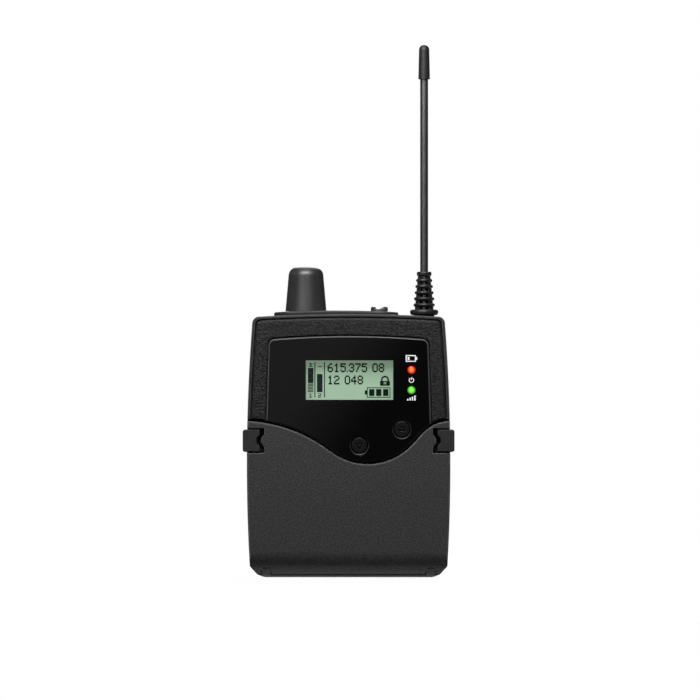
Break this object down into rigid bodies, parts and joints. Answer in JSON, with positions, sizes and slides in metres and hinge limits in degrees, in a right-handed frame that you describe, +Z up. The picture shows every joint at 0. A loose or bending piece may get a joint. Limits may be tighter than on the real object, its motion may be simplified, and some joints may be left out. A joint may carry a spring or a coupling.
{
  "type": "wireless receiver",
  "caption": "Body-worn wireless receiver with a whip antenna, volume knob, headphone jack, small display, push buttons, hinged battery cover and wire belt clip.",
  "frame": {"origin": "centre of the housing's flat bottom face", "axes": "+Z up along the antenna, -Y out of the front with the display, +X to the right seen from the front"},
  "size_m": [0.0666, 0.0306, 0.1679],
  "materials": {
    "housing_paint": "dark grey textured paint on a thin die-cast shell",
    "bezel_grain": "near-black moulded plastic with a leather-like grain",
    "deck_paint": "smooth satin dark grey",
    "panel_gloss": "polished black",
    "window_clear": "clear hard-coated window",
    "foam_black": "closed-cell foam",
    "display_white": "white reflector frame",
    "display_green": "pale green liquid crystal with its backlight",
    "flex_amber": "amber polyimide film",
    "lamp_red": "lit red lens",
    "lamp_green": "lit green lens",
    "button_rubber": "satin black",
    "board_green": "green solder mask",
    "screw_steel": "plain zinc plated",
    "switch_metal": "tinned cover",
    "infrared_black": "dark infrared filter",
    "tray_plastic": "fine spark-eroded black",
    "cell_jacket": null,
    "contact_nickel": "nickel plated",
    "cover_paint": "dark grey fine textured paint",
    "pin_steel": "ground",
    "catch_plastic": "satin dark grey",
    "spring_steel": "drawn wire",
    "shield_tin": "tinned sheet",
    "chip_black": "moulded epoxy",
    "header_black": "moulded",
    "screw_black": "black oxide",
    "knob_soft": "soft-touch dark grey coating",
    "shaft_brass": "turned",
    "nut_nickel": "nickel plated",
    "pot_body": "moulded body",
    "socket_black": "moulded body",
    "collar_nickel": "bright nickel plated, turned",
    "base_brass": "turned",
    "rod_coating": "black sleeved spring-steel whip",
    "cap_plastic": "moulded black",
    "boot_rubber": "moulded black rubber",
    "clip_steel": "black coated spring-steel wire",
    "contact_gold": "gold plated",
    "label_film": "plain silver-grey film, left bare"
  },
  "bodies": {
    "housing": {"rear_housing": "housing_paint", "front_bezel": "bezel_grain", "top_deck": "deck_paint", "control_panel": "panel_gloss", "display_window": "window_clear", "display_gasket": "foam_black", "display_frame": "display_white", "display_glass": "display_green", "display_flex": "flex_amber", "red_status_lamp": "lamp_red", "green_status_lamp": "lamp_green", "front_board": "board_green", "front_board_screws": "screw_steel", "tact_switches": "switch_metal", "infrared_receiver": "infrared_black", "battery_tray": "tray_plastic", "upper_battery": "cell_jacket", "lower_battery": "cell_jacket", "battery_contacts": "contact_nickel", "battery_springs": "contact_nickel", "hinge_pins": "pin_steel", "main_board": "board_green", "shield_cans": "shield_tin", "main_chips": "chip_black", "board_header": "header_black", "case_screws": "screw_black", "pot_nut": "nut_nickel", "volume_pot": "pot_body", "jack_socket": "socket_black", "jack_terminals": "contact_nickel", "jack_collar": "collar_nickel", "antenna_base": "base_brass", "antenna_rod": "rod_coating", "antenna_cap": "cap_plastic", "antenna_boot": "boot_rubber", "charging_contacts": "contact_gold", "rating_label": "label_film"},
    "cover": {"battery_cover": "cover_paint"},
    "left_catch": {"left_catch": "catch_plastic", "left_catch_spring": "spring_steel"},
    "right_catch": {"right_catch": "catch_plastic", "right_catch_spring": "spring_steel"},
    "up_button": {"up_button": "button_rubber"},
    "down_button": {"down_button": "button_rubber"},
    "set_button": {"set_button": "button_rubber"},
    "knob": {"volume_knob": "knob_soft", "pot_shaft": "shaft_brass"},
    "clip": {"belt_clip": "clip_steel"}
  },
  "joints": [
    {"name": "cover_hinge", "type": "hinge", "parent": "housing", "child": "cover", "pos_m": [0, -0.0082, 0.003], "axis": [1, 0, 0], "range_deg": [0, 95]},
    {"name": "left_catch_slide", "type": "slide", "parent": "cover", "child": "left_catch", "axis": [1, 0, 0], "range_m": [0, 0.0012], "stiffness_N_per_m": 600},
    {"name": "right_catch_slide", "type": "slide", "parent": "cover", "child": "right_catch", "axis": [-1, 0, 0], "range_m": [0, 0.0012], "stiffness_N_per_m": 600},
    {"name": "up_button_press", "type": "slide", "parent": "housing", "child": "up_button", "axis": [0, 1, 0], "range_m": [0, 0.0004], "stiffness_N_per_m": 900},
    {"name": "down_button_press", "type": "slide", "parent": "housing", "child": "down_button", "axis": [0, 1, 0], "range_m": [0, 0.0004], "stiffness_N_per_m": 900},
    {"name": "set_button_press", "type": "slide", "parent": "housing", "child": "set_button", "axis": [0, 1, 0], "range_m": [0, 0.0004], "stiffness_N_per_m": 900},
    {"name": "volume_turn", "type": "hinge", "parent": "housing", "child": "knob", "pos_m": [-0.01345, 0, 0.09], "axis": [0, 0, 1], "range_deg": [-150, 150]},
    {"name": "clip_pivot", "type": "hinge", "parent": "housing", "child": "clip", "pos_m": [0, 0.004, 0.043], "axis": [1, 0, 0], "range_deg": [0, 12], "stiffness_Nm_per_rad": 2}
  ]
}
